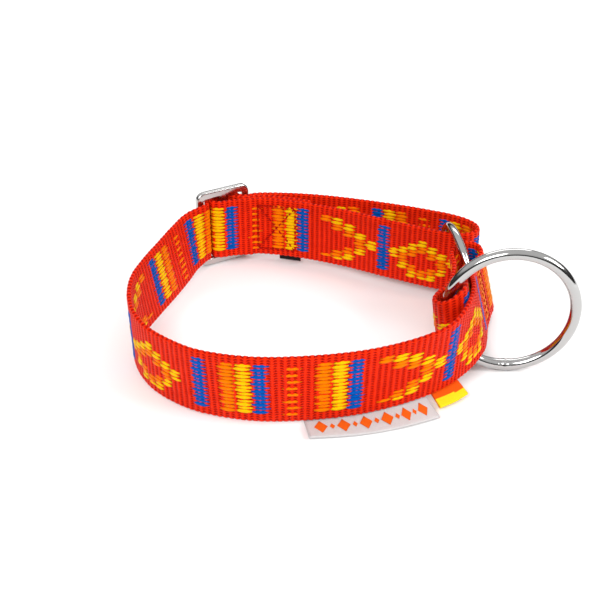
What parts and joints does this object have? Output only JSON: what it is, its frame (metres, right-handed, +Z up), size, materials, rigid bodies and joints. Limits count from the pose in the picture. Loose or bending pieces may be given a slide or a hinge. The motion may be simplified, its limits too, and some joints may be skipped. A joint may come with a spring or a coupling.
{
  "type": "martingale collar",
  "caption": "Patterned flat webbing martingale collar with an adjusting slider, a control loop and two welded steel rings.",
  "frame": {"origin": "middle of the neck opening, on the surface that the collar stands on", "axes": "+X towards the leash ring, +Y towards the adjuster loop, +Z up, across the webbing's width"},
  "size_m": [0.1564, 0.1248, 0.048],
  "materials": {
    "webbing": "jacquard woven polyester webbing with a ribbed ground",
    "welded_steel": "bright nickel-plated steel wire",
    "slider_steel": "bright nickel-plated steel plate",
    "label_cloth": "fine satin label weave",
    "ribbon_cloth": "grosgrain ribbon",
    "size_tag_cloth": "fine black label weave"
  },
  "bodies": {
    "collar": {"webbing_collar_band": "webbing", "webbing_control_loop": "webbing", "webbing_left_span": "webbing", "webbing_outer_span": "webbing", "webbing_ring_fold": "webbing", "webbing_inner_span": "webbing", "woven_label": "label_cloth", "ribbon_tab": "ribbon_cloth"},
    "slider": {"tri_glide_slider": "slider_steel", "webbing_slider_pass": "webbing", "webbing_sewn_end": "webbing", "size_tag": "size_tag_cloth"},
    "leash_ring": {"o_ring": "welded_steel"},
    "loop_ring": {"small_ring": "welded_steel"}
  },
  "joints": [
    {"name": "slider_slide", "type": "slide", "parent": "collar", "child": "slider", "axis": [0.866, 0.5, 0], "range_m": [-0.01, 0.012], "deforming": ["webbing_left_span", "webbing_outer_span", "webbing_inner_span"]},
    {"name": "leash_ring_swing", "type": "hinge", "parent": "collar", "child": "leash_ring", "pos_m": [0.0502, -0.0198, 0.0285], "axis": [0.2363, 0, -0.9717], "range_deg": [-18, 12]},
    {"name": "loop_ring_turn", "type": "hinge", "parent": "collar", "child": "loop_ring", "pos_m": [0.0596, 0.0232, 0.0169], "axis": [0.9652, 0.186, 0.184], "continuous": true}
  ]
}
